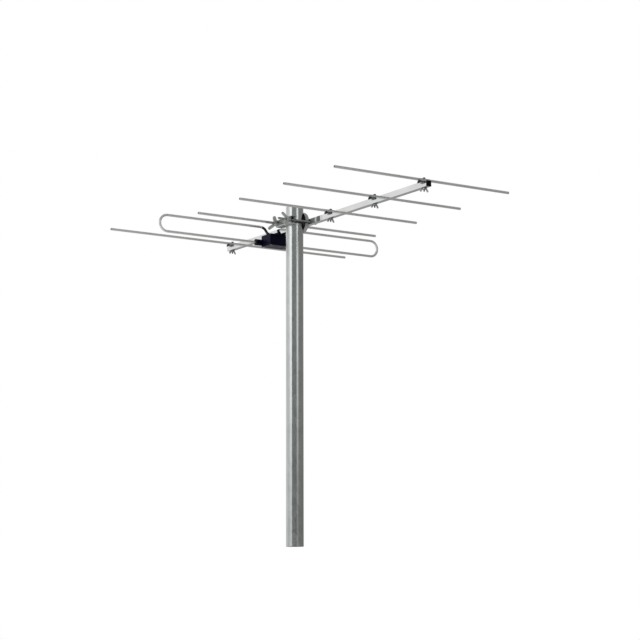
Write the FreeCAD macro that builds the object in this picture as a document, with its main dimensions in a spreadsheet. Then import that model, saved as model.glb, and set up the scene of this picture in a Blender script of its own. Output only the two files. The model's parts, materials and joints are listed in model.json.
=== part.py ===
# A VHF yagi antenna on its mast: six elements on a square boom, clamped beside a steel tube.
# Millimetres. Origin on the mast's axis at its foot, Z up, elements along X, directors towards -Y.
import FreeCAD, Part
import os
import re

SIZES = (
    # Mast and boom
    ("mast_diameter", 48.3, "mast tube, outside"),
    ("mast_wall", 2, "mast tube, wall"),
    ("mast_length", 936.5, "mast tube, foot to top"),
    ("mast_rise", 41, "mast tube, top above the boom's axis"),
    ("boom_side", 15, "boom tube, outside of its square"),
    ("boom_wall", 1.2, "boom tube, wall"),
    ("boom_rear", 428, "boom's rear end behind the mast's axis"),
    ("boom_front", 576, "boom's front end before the mast's axis"),
    ("cap_head", 2, "front cap, length of its head"),
    ("cap_spigot", 14, "front cap, length inside the boom"),
    ("cap_edge", 0.6, "front cap, rounding of its head"),
    ("cap_gap", 0.1, "front cap, play in the boom on each side"),
    # Straight elements
    ("rod_diameter", 7, "element tubes and dipole rod, outside"),
    ("rod_wall", 1, "element tubes, wall"),
    ("reflector_length", 803, "reflector"),
    ("director_one_length", 590, "first director"),
    ("director_two_length", 577, "second director"),
    ("director_three_length", 565, "third director"),
    ("director_four_length", 546, "fourth director"),
    ("reflector_place", 409, "reflector behind the mast's axis"),
    ("director_one_place", 89, "first director behind the mast's axis"),
    ("director_two_place", -124, "second director, before the mast"),
    ("director_three_place", -336, "third director, before the mast"),
    ("director_four_place", -557, "fourth director, before the mast"),
    # Saddle, screw and wing nut of each straight element
    ("saddle_length", 31, "saddle along the element"),
    ("saddle_sheet", 1.5, "saddle sheet"),
    ("saddle_wall", 6, "saddle side walls above its floor"),
    ("saddle_flange", 3, "saddle floor past its side walls"),
    ("saddle_gap", 0.2, "saddle, play beside the element"),
    ("lip_drop", 4, "saddle ends, turned down below its floor"),
    ("lug_drop", 5, "saddle lugs below the boom's top"),
    ("lug_gap", 0.2, "saddle lugs, play beside the boom"),
    ("screw_diameter", 4, "element screw"),
    ("screw_tip", 10, "element screw below the boom"),
    ("hole_clearance", 0.2, "screw holes, play all round"),
    ("thread_gap", 0.05, "nuts, play round their screw"),
    ("head_width", 7, "element screw head across flats"),
    ("head_height", 3.2, "element screw head"),
    ("seat_flat", 0.6, "flat under the screw head, depth in the element"),
    ("seat_margin", 1, "flat under the screw head, room past the head"),
    ("nut_hub", 9, "small wing nut, hub diameter"),
    ("nut_height", 5, "small wing nut, hub height"),
    ("nut_root", 6, "small wing nut, ear start from its axis"),
    ("nut_lift", 0.4, "small wing nut, ear above its seat"),
    ("nut_ear", 7, "small wing nut, ear between its round ends"),
    ("nut_width", 5, "small wing nut, ear width"),
    ("nut_thick", 2.4, "small wing nut, ear thickness"),
    ("nut_lean", 58, "small wing nut, ear angle from its seat in degrees"),
    # Folded dipole
    ("dipole_length", 736, "dipole loop overall"),
    ("dipole_place", 181, "dipole behind the mast's axis"),
    ("dipole_rise", 18.5, "upper conductor above the boom's axis"),
    ("dipole_spacing", 46, "between the two conductors' axes"),
    ("dipole_bend", 12, "radius of the bends to the feed"),
    ("feed_inset", 8.5, "feed ends from the housing's end faces"),
    ("feed_depth", 2.5, "feed ends' axis below the housing's top wall"),
    # Housing of the dipole's feed
    ("box_width", 77, "housing along the elements"),
    ("box_front", 16, "housing's front face before the feed terminals"),
    ("carrier_foot", 2, "housing's rim below the dipole carrier"),
    ("box_gap", 0.5, "pad between boom and housing"),
    ("box_wall", 2.5, "housing wall"),
    ("box_corner", 3, "housing, rounded edges"),
    ("pad_width", 21, "pad across the boom"),
    ("cheek_height", 5.5, "pad's cheeks beside the boom"),
    ("cheek_gap", 0.2, "pad's cheeks, play beside the boom"),
    ("carrier_diameter", 18, "dipole carrier, outside"),
    ("carrier_length", 114, "dipole carrier along the dipole"),
    ("carrier_inset", 1, "housing's rear face before the dipole's axis"),
    ("grommet_wall", 1.5, "feed grommet"),
    ("grommet_rise", 2.5, "feed grommet above the housing's top"),
    ("grommet_depth", 0.5, "feed grommet below the top wall"),
    ("post_radius", 3.5, "lid posts"),
    ("post_bite", 0.5, "lid posts, part inside the walls"),
    ("lid_thick", 2.5, "lid"),
    ("lid_edge", 1.2, "lid, rounded lower edge"),
    ("rib_height", 1.2, "lid ribs"),
    ("rib_thick", 1.5, "lid ribs"),
    ("rib_gap", 0.2, "lid ribs, play inside the walls"),
    ("tapping_diameter", 2.9, "lid and board screws"),
    ("tapping_head", 5.6, "lid and board screw heads"),
    ("tapping_head_height", 1.4, "lid and board screw heads"),
    ("lid_screw_length", 10, "lid screws under the head"),
    ("board_screw_length", 6, "board screws under the head"),
    ("fixing_diameter", 3.5, "screws from housing to boom"),
    ("fixing_head", 7, "heads of those screws"),
    ("fixing_head_height", 2.4, "heads of those screws"),
    ("fixing_spread", 30, "between those screws"),
    ("fixing_tip", 3, "those screws past the boom's wall"),
    ("board_drop", 7, "board's top below the housing's top wall"),
    ("board_thick", 1.6, "board"),
    ("board_depth", 24, "board along the boom"),
    ("board_gap", 1.5, "board's ends from the walls"),
    ("board_post", 6, "board posts, diameter"),
    ("board_spread", 28, "between the board posts"),
    ("board_offset", 8, "board posts behind the board's middle"),
    ("core_width", 12, "balun core"),
    ("core_depth", 13, "balun core"),
    ("core_height", 5, "balun core"),
    ("core_hole", 3, "balun core's two holes"),
    ("terminal_wall", 1.5, "feed terminals beside the feed ends"),
    ("terminal_length", 12, "feed terminals along the boom"),
    ("terminal_lead", 4.5, "feed terminals before the feed end"),
    ("terminal_height", 6, "feed terminals"),
    ("socket_diameter", 9.4, "coax socket barrel"),
    ("socket_length", 11, "coax socket outside the housing"),
    ("socket_flange", 11, "coax socket flange inside"),
    ("socket_flange_thick", 2, "coax socket flange inside"),
    ("socket_tail", 4, "coax socket behind its flange"),
    ("socket_drop", 6.9, "coax socket axis below the board"),
    ("socket_bore", 6.6, "coax socket mouth"),
    ("socket_mouth", 1.2, "coax socket mouth, depth"),
    ("socket_pin_hole", 1.2, "coax socket pin hole"),
    ("socket_nut_width", 12, "coax socket nut across flats"),
    ("socket_nut_thick", 3, "coax socket nut"),
    ("socket_relief", 1, "coax socket, undercut before its nut"),
    ("socket_relief_depth", 0.5, "coax socket, depth of that undercut"),
    # Mast clamp
    ("jaw_gap", 7, "boom's face from the mast's surface"),
    ("jaw_margin", 5, "dish jaw's radius past the mast's radius"),
    ("jaw_depth", 13, "dish jaw"),
    ("jaw_sheet", 1.5, "dish jaw sheet"),
    ("jaw_corner", 4, "dish jaw, rounded rim of its base"),
    ("mast_clearance", 0.3, "jaw notches round the mast"),
    ("rivet_diameter", 4.8, "jaw rivets"),
    ("rivet_head", 9, "jaw rivet heads"),
    ("rivet_head_thick", 1.2, "jaw rivet heads"),
    ("rivet_tail", 7.2, "jaw rivets' set ends"),
    ("rivet_tail_thick", 1.5, "jaw rivets' set ends"),
    ("rivet_spread", 24, "between the jaw rivets"),
    ("pan_height", 20, "outer jaw channel"),
    ("pan_end", 7, "outer jaw past the bolts"),
    ("pan_floor", 12, "outer jaw's floor from the mast's surface"),
    ("pan_depth", 20, "outer jaw channel"),
    ("pan_sheet", 1.5, "outer jaw sheet"),
    ("pan_bend", 3, "outer jaw, outside of its folds"),
    ("pan_fold", 1.5, "outer jaw, inside of its folds"),
    ("bolt_drop", 2.5, "clamp bolts below the boom's axis"),
    ("bolt_diameter", 6, "clamp bolts"),
    ("bolt_length", 120, "clamp bolts under the head"),
    ("bolt_gap", 0.5, "clamp bolts' play beside the dish jaw"),
    ("bolt_head_width", 10, "clamp bolt heads across flats"),
    ("bolt_head_height", 4, "clamp bolt heads"),
    ("washer_diameter", 14, "clamp washers"),
    ("washer_thick", 1.2, "clamp washers"),
    ("wing_hub", 12, "large wing nut, hub diameter"),
    ("wing_height", 9, "large wing nut, hub height"),
    ("wing_root", 5, "large wing nut, ear start from its axis"),
    ("wing_lift", 0.6, "large wing nut, ear above its seat"),
    ("wing_ear", 15.5, "large wing nut, ear between its round ends"),
    ("wing_width", 10, "large wing nut, ear width"),
    ("wing_thick", 3, "large wing nut, ear thickness"),
    ("wing_lean", 36, "large wing nut, ear angle from its seat in degrees"),
    ("wing_rim", 1.6, "large wing nut, raised rim of its ears"),
    ("wing_recess", 0.6, "large wing nut, depth inside that rim"),
)

# Places worked out from the sheet, as expressions
BOOM_X = "(mast_diameter / 2 + jaw_gap + boom_side / 2)"
NEAR_FACE = "(mast_diameter / 2 + jaw_gap)"
FAR_FACE = "(mast_diameter / 2 + jaw_gap + boom_side)"
BOOM_HEIGHT = "(mast_length - mast_rise)"
BOOM_TOP = f"({BOOM_HEIGHT} + boom_side / 2)"
BOOM_LOW = f"({BOOM_HEIGHT} - boom_side / 2)"
ROD_RADIUS = "(rod_diameter / 2)"
ROD_AXIS = f"({BOOM_TOP} + saddle_sheet + {ROD_RADIUS})"
HEAD_SEAT = f"({ROD_AXIS} + {ROD_RADIUS} - seat_flat)"
SCREW_HOLE = "(screw_diameter / 2 + hole_clearance)"
SADDLE_WIDTH = "(rod_diameter + 2 * saddle_gap + 2 * saddle_sheet)"
UPPER = f"({BOOM_HEIGHT} + dipole_rise)"
LOWER = f"({BOOM_HEIGHT} + dipole_rise - dipole_spacing)"
LOOP_END = f"(dipole_length / 2 - dipole_spacing / 2 - {ROD_RADIUS})"
FEED_REACH = "(box_width / 2 - feed_inset)"
BEND_DROP = "(dipole_bend / sqrt(2))"
TOP_DROP = "(dipole_rise + boom_side / 2 + box_gap)"
FEED_DROP = f"({TOP_DROP} + box_wall + feed_depth)"
BOX_TOP = f"({BOOM_LOW} - box_gap)"
BOX_REAR = "(dipole_place - carrier_inset)"
BOX_DEPTH = f"({FEED_DROP} + terminal_lead + box_front - carrier_inset)"
BOX_FRONT = f"({BOX_REAR} - {BOX_DEPTH})"
BOX_MIDDLE = f"({BOX_REAR} - {BOX_DEPTH} / 2)"
BOARD_MIDDLE = f"(dipole_place - {FEED_DROP} - terminal_lead + board_depth / 2)"
BASE_LOW = f"({LOWER} - carrier_diameter / 2 - carrier_foot)"
BASE_HEIGHT = f"({BOX_TOP} - {BASE_LOW})"
INSIDE_TOP = f"({BOX_TOP} - box_wall)"
BOARD_TOP = f"({INSIDE_TOP} - board_drop)"
BOARD_LOW = f"({BOARD_TOP} - board_thick)"
POST_INSET = "(box_wall + post_radius - post_bite)"
SOCKET_Z = f"({BOARD_LOW} - socket_drop)"
BOX_END = f"({BOOM_X} + box_width / 2)"
JAW_RADIUS = "(mast_diameter / 2 + jaw_margin)"
BOLT_Y = f"({JAW_RADIUS} + bolt_diameter / 2 + bolt_gap)"
BOLT_HEIGHT = f"({BOOM_HEIGHT} - bolt_drop)"
BOLT_HOLE = "(bolt_diameter / 2 + hole_clearance)"
PAN_OUTSIDE = "(-mast_diameter / 2 - pan_floor - pan_sheet)"
MAST_NOTCH = "(mast_diameter / 2 + mast_clearance)"

# Straight elements: name, length, place along the boom, and the turn at which the wing nut came tight
ELEMENTS = (
    ("reflector", "reflector_length", "reflector_place", 8),
    ("director_1", "director_one_length", "director_one_place", -15),
    ("director_2", "director_two_length", "director_two_place", 4),
    ("director_3", "director_three_length", "director_three_place", 3),
    ("director_4", "director_four_length", "director_four_place", -8),
)
# Large wing nuts: side of the mast, and the turn of their ears from upright
CLAMP_SIDES = (("front", -1, 24), ("rear", 1, -45))

TURNS = {
    "x": FreeCAD.Rotation(FreeCAD.Vector(0, 1, 0), 90),
    "y": FreeCAD.Rotation(FreeCAD.Vector(1, 0, 0), -90),
    "z": FreeCAD.Rotation(),
    "feed": FreeCAD.Rotation(FreeCAD.Vector(1, 0, 0), 135),
}
ALIASES = {alias for alias, value, note in SIZES}
WORD = re.compile(r"[a-z_]+")

doc = FreeCAD.newDocument("yagi_antenna")
sheet = doc.addObject("Spreadsheet::Sheet", "Sizes")
for row, (alias, value, note) in enumerate(SIZES, start=1):
    sheet.set(f"A{row}", note)
    sheet.set(f"B{row}", str(value))
    sheet.setAlias(f"B{row}", alias)
doc.recompute()
sub_parts = []


def bind(thing, prop, text):
    """Ties a property to the sheet: each alias in the text gets the sheet's name before it."""
    named = WORD.sub(lambda found: "Sizes." + found[0] if found[0] in ALIASES else found[0], str(text))
    thing.setExpression(prop, named)


def place(thing, at, turn="z"):
    """Turns a piece and ties its base point to the sheet."""
    rotation = TURNS[turn] if isinstance(turn, str) else turn
    thing.Placement = FreeCAD.Placement(FreeCAD.Vector(), rotation)
    for axis, text in zip("xyz", at):
        bind(thing, "Placement.Base." + axis, text)
    return thing


def block(size, corner):
    thing = doc.addObject("Part::Box", "Block")
    for prop, text in zip(("Length", "Width", "Height"), size):
        bind(thing, prop, text)
    return place(thing, corner)


def mid_block(size, foot):
    """A block that stands centred on its foot point."""
    length, width, height = size
    x, y, z = foot
    return block(size, (f"{x} - ({length}) / 2", f"{y} - ({width}) / 2", z))


def bar(turn, radius, length, start):
    """A round bar from its start along x, y, z or the feed's slope."""
    thing = doc.addObject("Part::Cylinder", "Bar")
    bind(thing, "Radius", radius)
    bind(thing, "Height", length)
    return place(thing, start, turn)


def hexagon(turn, across, length, start):
    thing = doc.addObject("Part::Prism", "Hexagon")
    thing.Polygon = 6
    bind(thing, "Circumradius", f"({across}) / sqrt(3)")
    bind(thing, "Height", length)
    return place(thing, start, turn)


def bend(radius, sweep, centre, from_axis, to_axis):
    """A bent stretch of rod, from one direction seen from the bend's centre towards another."""
    thing = doc.addObject("Part::Torus", "Bend")
    bind(thing, "Radius1", radius)
    bind(thing, "Radius2", ROD_RADIUS)
    thing.Angle3 = sweep
    start = FreeCAD.Vector(*from_axis)
    onward = FreeCAD.Vector(*to_axis)
    return place(thing, centre, FreeCAD.Rotation(start, onward, start.cross(onward), "ZXY"))


def join(pieces):
    thing = doc.addObject("Part::MultiFuse", "Join")
    thing.Shapes = pieces
    thing.Refine = True
    return thing


def cut(base, tools):
    thing = doc.addObject("Part::Cut", "Cut")
    thing.Base = base
    thing.Tool = tools[0] if len(tools) == 1 else join(tools)
    thing.Refine = True
    return thing


def group(pieces):
    """Like fasteners in one node, as separate solids."""
    thing = doc.addObject("Part::Compound", "Group")
    thing.Links = pieces
    return thing


def rounded(base, radius_of):
    """Rounds edges: the test gives each edge the alias or text of its radius, or nothing."""
    doc.recompute()
    edges = []
    for number, edge in enumerate(base.Shape.Edges, start=1):
        alias = radius_of(edge.BoundBox)
        if alias:
            edges.append((number, float(sheet.get(alias)), float(sheet.get(alias))))
    thing = doc.addObject("Part::Fillet", "Rounded")
    thing.Base = base
    thing.Edges = edges
    return thing


def sub_part(label, thing):
    thing.Label = label
    sub_parts.append(thing)
    return thing


def ear(kind, width, thick, middle):
    """One ear of a wing nut: a slab with round ends, leaning up from the seat."""
    length = f"{kind}_ear"
    low = f"{middle} - ({thick}) / 2"
    slab = block((length, thick, width), ("0", low, f"-({width}) / 2"))
    ends = [bar("y", f"({width}) / 2", thick, (x, low, "0")) for x in ("0", length)]
    thing = join([slab] + ends)
    lean = FreeCAD.Rotation(FreeCAD.Vector(0, -1, 0), float(sheet.get(f"{kind}_lean")))
    return place(thing, (f"{kind}_root", "0", f"{kind}_width / 2 + {kind}_lift"), lean)


def both_sides(thing):
    """A piece and its mirror image across the nut's axis."""
    mirror = doc.addObject("Part::Mirroring", "Mirror")
    mirror.Source = thing
    mirror.Normal = FreeCAD.Vector(1, 0, 0)
    return [thing, mirror]


def wing_nut(kind, screw_radius, seat, turn, recesses=()):
    """A wing nut with its seat at the given point and its axis turned from Z."""
    hub = bar("z", f"{kind}_hub / 2", f"{kind}_height", ("0", "0", "0"))
    ears = both_sides(ear(kind, f"{kind}_width", f"{kind}_thick", "0"))
    bore = bar("z", f"{screw_radius} + thread_gap", f"{kind}_height + {kind}_width", ("0", "0", "0"))
    return place(cut(join([hub] + ears), [bore] + list(recesses)), seat, turn)


# Mast and boom

def mast_tube():
    outside = bar("z", "mast_diameter / 2", "mast_length", ("0", "0", "0"))
    inside = bar("z", "mast_diameter / 2 - mast_wall", "mast_length", ("0", "0", "0"))
    return cut(outside, [inside])


def boom():
    length = "(boom_rear + boom_front)"
    inner = "(boom_side - 2 * boom_wall)"
    tube = mid_block(("boom_side", length, "boom_side"), (BOOM_X, f"-boom_front + {length} / 2", BOOM_LOW))
    inside = mid_block((inner, length, inner),
                       (BOOM_X, f"-boom_front + {length} / 2", f"{BOOM_LOW} + boom_wall"))
    holes = [bar("z", SCREW_HOLE, "boom_side", (BOOM_X, at, BOOM_LOW)) for name, size, at, turn in ELEMENTS]
    holes += [bar("x", BOLT_HOLE, "boom_side", (NEAR_FACE, f"{side} * {BOLT_Y}", BOLT_HEIGHT))
              for name, side, turn in CLAMP_SIDES]
    holes += [bar("x", "rivet_diameter / 2", "boom_wall",
                  (NEAR_FACE, f"{side} * rivet_spread / 2", BOOM_HEIGHT)) for side in (-1, 1)]
    holes += [bar("z", "fixing_diameter / 2", "boom_wall", (BOOM_X, at, BOOM_LOW)) for at in FIXING_PLACES]
    return cut(tube, [inside] + holes)


def boom_front_cap():
    spigot_side = "(boom_side - 2 * boom_wall - 2 * cap_gap)"
    front = "(-boom_front - cap_head)"
    head = mid_block(("boom_side", "cap_head", "boom_side"), (BOOM_X, f"{front} + cap_head / 2", BOOM_LOW))
    back = -sheet.get("boom_front")
    soft_head = rounded(head, lambda box: "cap_edge" if box.YMin < back - 0.01 else None)
    spigot = mid_block((spigot_side, "cap_spigot", spigot_side),
                       (BOOM_X, "-boom_front + cap_spigot / 2", f"{BOOM_HEIGHT} - {spigot_side} / 2"))
    return join([soft_head, spigot])


# Straight elements

def element_rod(length, at):
    start = (f"{BOOM_X} - {length} / 2", at, ROD_AXIS)
    tube = bar("x", ROD_RADIUS, length, start)
    inside = bar("x", f"{ROD_RADIUS} - rod_wall", length, start)
    hole = bar("z", SCREW_HOLE, "rod_diameter", (BOOM_X, at, f"{ROD_AXIS} - {ROD_RADIUS}"))
    seat_length = "(head_width * 2 / sqrt(3) + 2 * seat_margin)"
    flat = mid_block((seat_length, "rod_diameter", "rod_diameter"), (BOOM_X, at, HEAD_SEAT))
    return cut(tube, [inside, hole, flat])


def saddle(at):
    floor_width = f"({SADDLE_WIDTH} + 2 * saddle_flange)"
    floor = mid_block(("saddle_length", floor_width, "saddle_sheet"), (BOOM_X, at, BOOM_TOP))
    lip_middle = "(saddle_length - saddle_sheet) / 2"
    lips = [mid_block(("saddle_sheet", floor_width, "lip_drop"),
                      (f"{BOOM_X} + {side} * {lip_middle}", at, f"{BOOM_TOP} - lip_drop"))
            for side in (-1, 1)]
    wall_middle = f"({ROD_RADIUS} + saddle_gap + saddle_sheet / 2)"
    walls = [mid_block(("saddle_length", "saddle_sheet", "saddle_sheet + saddle_wall"),
                       (BOOM_X, f"{at} + {side} * {wall_middle}", BOOM_TOP)) for side in (-1, 1)]
    lug_middle = "(boom_side / 2 + lug_gap + saddle_sheet / 2)"
    lugs = [mid_block(("saddle_sheet", SADDLE_WIDTH, "lug_drop"),
                      (f"{BOOM_X} + {side} * {lug_middle}", at, f"{BOOM_TOP} - lug_drop"))
            for side in (-1, 1)]
    hole = bar("z", SCREW_HOLE, "saddle_sheet", (BOOM_X, at, BOOM_TOP))
    return cut(join([floor] + lips + walls + lugs), [hole])


def element_screw(at):
    head = hexagon("z", "head_width", "head_height", (BOOM_X, at, HEAD_SEAT))
    shank = bar("z", "screw_diameter / 2", f"{HEAD_SEAT} - {BOOM_LOW} + screw_tip",
                (BOOM_X, at, f"{BOOM_LOW} - screw_tip"))
    return join([head, shank])


def element_nut(at, turn):
    down = FreeCAD.Rotation(FreeCAD.Vector(0, 0, 1), turn) * FreeCAD.Rotation(FreeCAD.Vector(1, 0, 0), 180)
    return wing_nut("nut", "screw_diameter / 2", (BOOM_X, at, BOOM_LOW), down)


# Folded dipole: one rod from feed end to feed end, round both ends of the loop

def feed_stretch(radius, side, first_drop, last_drop):
    """A round stretch of the feed's slope between two depths below the upper conductor."""
    start = (f"{BOOM_X} + {side} * {FEED_REACH}", f"dipole_place - {first_drop}", f"{UPPER} - {first_drop}")
    return bar("feed", radius, f"({last_drop} - {first_drop}) * sqrt(2)", start)


def folded_dipole():
    pieces = [bar("x", ROD_RADIUS, f"2 * {LOOP_END}", (f"{BOOM_X} - {LOOP_END}", "dipole_place", LOWER))]
    straight = f"({LOOP_END} - {FEED_REACH} - dipole_bend)"
    middle = f"({UPPER} - dipole_spacing / 2)"
    for side, outer_start in ((-1, f"{BOOM_X} - {LOOP_END}"), (1, f"{BOOM_X} + {FEED_REACH} + dipole_bend")):
        pieces.append(bar("x", ROD_RADIUS, straight, (outer_start, "dipole_place", UPPER)))
        loop_centre = (f"{BOOM_X} + {side} * {LOOP_END}", "dipole_place", middle)
        pieces.append(bend("dipole_spacing / 2", 180, loop_centre, (0, 0, 1), (side, 0, 0)))
        bend_centre = (f"{BOOM_X} + {side} * ({FEED_REACH} + dipole_bend)", f"dipole_place - {BEND_DROP}",
                       f"{UPPER} - {BEND_DROP}")
        pieces.append(bend("dipole_bend", 90, bend_centre, (0, 1, 1), (-side, 0, 0)))
        pieces.append(feed_stretch(ROD_RADIUS, side, BEND_DROP, FEED_DROP))
    return join(pieces)


# Housing of the feed

FIXING_PLACES = [f"({BOX_MIDDLE} + {side} * fixing_spread / 2)" for side in (-1, 1)]
POSTS = [(f"({BOOM_X} + {side} * (box_width / 2 - {POST_INSET}))", depth)
         for side in (-1, 1) for depth in (f"({BOX_FRONT} + {POST_INSET})", f"({BOX_REAR} - {POST_INSET})")]
BOARD_POSTS = [(f"({BOOM_X} + {side} * board_spread / 2)", f"({BOARD_MIDDLE} + board_offset)")
               for side in (-1, 1)]


def box_base():
    inside = ("box_width - 2 * box_wall", f"{BOX_DEPTH} - 2 * box_wall", f"{BASE_HEIGHT} - box_wall")
    outer = mid_block(("box_width", BOX_DEPTH, BASE_HEIGHT), (BOOM_X, BOX_MIDDLE, BASE_LOW))
    doc.recompute()
    low = outer.Shape.BoundBox.ZMin
    soft = rounded(outer, lambda box: "box_corner" if box.ZMax > low + 0.01 else None)
    shell = cut(soft, [mid_block(inside, (BOOM_X, BOX_MIDDLE, BASE_LOW))])
    pad = mid_block(("pad_width", f"{BOX_DEPTH} - 2 * box_corner", "box_gap + cheek_height"),
                    (BOOM_X, BOX_MIDDLE, BOX_TOP))
    boom_room = mid_block(("boom_side + 2 * cheek_gap", BOX_DEPTH, "boom_side"),
                          (BOOM_X, BOX_MIDDLE, BOOM_LOW))
    carrier_start = (f"{BOOM_X} - carrier_length / 2", "dipole_place", LOWER)
    carrier = bar("x", "carrier_diameter / 2", "carrier_length", carrier_start)
    posts = [bar("z", "post_radius", f"{INSIDE_TOP} - {BASE_LOW}", (x, y, BASE_LOW)) for x, y in POSTS]
    posts += [bar("z", "board_post / 2", "board_drop", (x, y, BOARD_TOP)) for x, y in BOARD_POSTS]
    holes = [bar("x", ROD_RADIUS, "carrier_length", carrier_start)]
    holes += [feed_stretch(f"({ROD_RADIUS} + grommet_wall)", side, f"({TOP_DROP} - box_wall - rod_diameter)",
                           f"({TOP_DROP} + box_wall + grommet_wall + {ROD_RADIUS})") for side in (-1, 1)]
    holes += [bar("z", "fixing_diameter / 2 + hole_clearance", "box_wall + box_gap", (BOOM_X, at, INSIDE_TOP))
              for at in FIXING_PLACES]
    holes += [bar("z", "tapping_diameter / 2", "lid_screw_length", (x, y, BASE_LOW)) for x, y in POSTS]
    holes += [bar("z", "tapping_diameter / 2", "board_screw_length", (x, y, BOARD_TOP))
              for x, y in BOARD_POSTS]
    holes.append(bar("x", "socket_diameter / 2 + hole_clearance", "box_wall",
                     (f"{BOX_END} - box_wall", BOX_MIDDLE, SOCKET_Z)))
    return cut(join([shell, cut(pad, [boom_room]), carrier] + posts), holes)


def box_lid():
    low = f"({BASE_LOW} - lid_thick)"
    plate = mid_block(("box_width", BOX_DEPTH, "lid_thick"), (BOOM_X, BOX_MIDDLE, low))
    doc.recompute()
    bounds = plate.Shape.BoundBox

    def radius_of(box):
        if box.ZLength > 0.01:
            return "box_corner"
        return "lid_edge" if box.ZMax < bounds.ZMin + 0.01 else None

    side_x = "(box_width / 2 - box_wall - rib_gap - rib_thick / 2)"
    free_depth = f"({BOX_DEPTH} - 2 * ({POST_INSET} + post_radius) - 2 * rib_gap)"
    free_width = f"(box_width - 2 * ({POST_INSET} + post_radius) - 2 * rib_gap)"
    ribs = [mid_block(("rib_thick", free_depth, "rib_height"),
                      (f"{BOOM_X} + {side} * {side_x}", BOX_MIDDLE, BASE_LOW)) for side in (-1, 1)]
    ribs.append(mid_block((free_width, "rib_thick", "rib_height"),
                          (BOOM_X, f"{BOX_FRONT} + box_wall + rib_gap + rib_thick / 2", BASE_LOW)))
    holes = [bar("z", "tapping_diameter / 2 + hole_clearance", "lid_thick", (x, y, low)) for x, y in POSTS]
    holes += [bar("z", "tapping_head / 2 + hole_clearance", "tapping_head_height", (x, y, low))
              for x, y in POSTS]
    return cut(join([rounded(plate, radius_of)] + ribs), holes)


def tapping_screw(length, at, seat):
    """A screw driven upwards, its head under the seat."""
    x, y = at
    head = bar("z", "tapping_head / 2", "tapping_head_height", (x, y, f"{seat} - tapping_head_height"))
    return join([head, bar("z", "tapping_diameter / 2", length, (x, y, seat))])


def lid_screws():
    seat = f"({BASE_LOW} - lid_thick + tapping_head_height)"
    return group([tapping_screw("lid_screw_length", at, seat) for at in POSTS])


def board_screws():
    return group([tapping_screw("board_screw_length", at, BOARD_LOW) for at in BOARD_POSTS])


def box_fixing_screws():
    length = "(box_wall + box_gap + boom_wall + fixing_tip)"
    screws = []
    for at in FIXING_PLACES:
        head = bar("z", "fixing_head / 2", "fixing_head_height",
                   (BOOM_X, at, f"{INSIDE_TOP} - fixing_head_height"))
        screws.append(join([head, bar("z", "fixing_diameter / 2", length, (BOOM_X, at, INSIDE_TOP))]))
    return group(screws)


def feed_grommets():
    """Sleeves on the feed's slope, cut off level just inside the housing."""
    rings = []
    radius = f"({ROD_RADIUS} + grommet_wall)"
    first = f"({TOP_DROP} - grommet_rise)"
    last = f"({TOP_DROP} + box_wall + {radius})"
    for side in (-1, 1):
        sleeve = feed_stretch(radius, side, first, last)
        below = mid_block((f"3 * {radius}", f"6 * {radius}", BASE_HEIGHT),
                          (f"{BOOM_X} + {side} * {FEED_REACH}", f"dipole_place - {last}",
                           f"{INSIDE_TOP} - grommet_depth - {BASE_HEIGHT}"))
        rings.append(cut(sleeve, [feed_stretch(ROD_RADIUS, side, first, last), below]))
    return group(rings)


def feed_terminals():
    blocks = []
    width = "(rod_diameter + 2 * terminal_wall)"
    middle = f"(dipole_place - {FEED_DROP} - terminal_lead + terminal_length / 2)"
    for side in (-1, 1):
        solid = mid_block((width, "terminal_length", "terminal_height"),
                          (f"{BOOM_X} + {side} * {FEED_REACH}", middle, BOARD_TOP))
        blocks.append(cut(solid, [feed_stretch(ROD_RADIUS, side, TOP_DROP, FEED_DROP)]))
    return group(blocks)


def balun_board():
    size = ("box_width - 2 * box_wall - 2 * board_gap", "board_depth", "board_thick")
    plate = mid_block(size, (BOOM_X, BOARD_MIDDLE, BOARD_LOW))
    holes = [bar("z", "tapping_diameter / 2", "board_thick", (x, y, BOARD_LOW)) for x, y in BOARD_POSTS]
    return cut(plate, holes)


def balun_core():
    solid = mid_block(("core_width", "core_depth", "core_height"), (BOOM_X, BOARD_MIDDLE, BOARD_TOP))
    front = f"({BOARD_MIDDLE} - core_depth / 2)"
    return cut(solid, [bar("y", "core_hole / 2", "core_depth",
                           (f"{BOOM_X} + {side} * core_width / 4", front, f"{BOARD_TOP} + core_height / 2"))
                       for side in (-1, 1)])


def coax_socket():
    """A flanged barrel through the housing's end wall, undercut between its nut and the plug's thread."""
    wall = f"({BOX_END} - box_wall)"
    end = f"({BOX_END} + socket_length)"
    free = f"({BOX_END} + socket_nut_thick + socket_relief)"
    neck = bar("x", "socket_diameter / 2", "box_wall + socket_nut_thick", (wall, BOX_MIDDLE, SOCKET_Z))
    core = bar("x", "socket_diameter / 2 - socket_relief_depth", "box_wall + socket_length",
               (wall, BOX_MIDDLE, SOCKET_Z))
    thread = bar("x", "socket_diameter / 2", f"{end} - {free}", (free, BOX_MIDDLE, SOCKET_Z))
    flange = bar("x", "socket_flange / 2", "socket_flange_thick",
                 (f"{wall} - socket_flange_thick", BOX_MIDDLE, SOCKET_Z))
    tail = bar("x", "socket_bore / 2", "socket_tail",
               (f"{wall} - socket_flange_thick - socket_tail", BOX_MIDDLE, SOCKET_Z))
    mouth = bar("x", "socket_bore / 2", "socket_mouth", (f"{end} - socket_mouth", BOX_MIDDLE, SOCKET_Z))
    pin_hole = bar("x", "socket_pin_hole / 2", "socket_length", (BOX_END, BOX_MIDDLE, SOCKET_Z))
    return cut(join([neck, core, thread, flange, tail]), [mouth, pin_hole])


def socket_nut():
    start = (BOX_END, BOX_MIDDLE, SOCKET_Z)
    nut = hexagon("x", "socket_nut_width", "socket_nut_thick", start)
    return cut(nut, [bar("x", "socket_diameter / 2 + thread_gap", "socket_nut_thick", start)])


# Mast clamp

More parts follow.
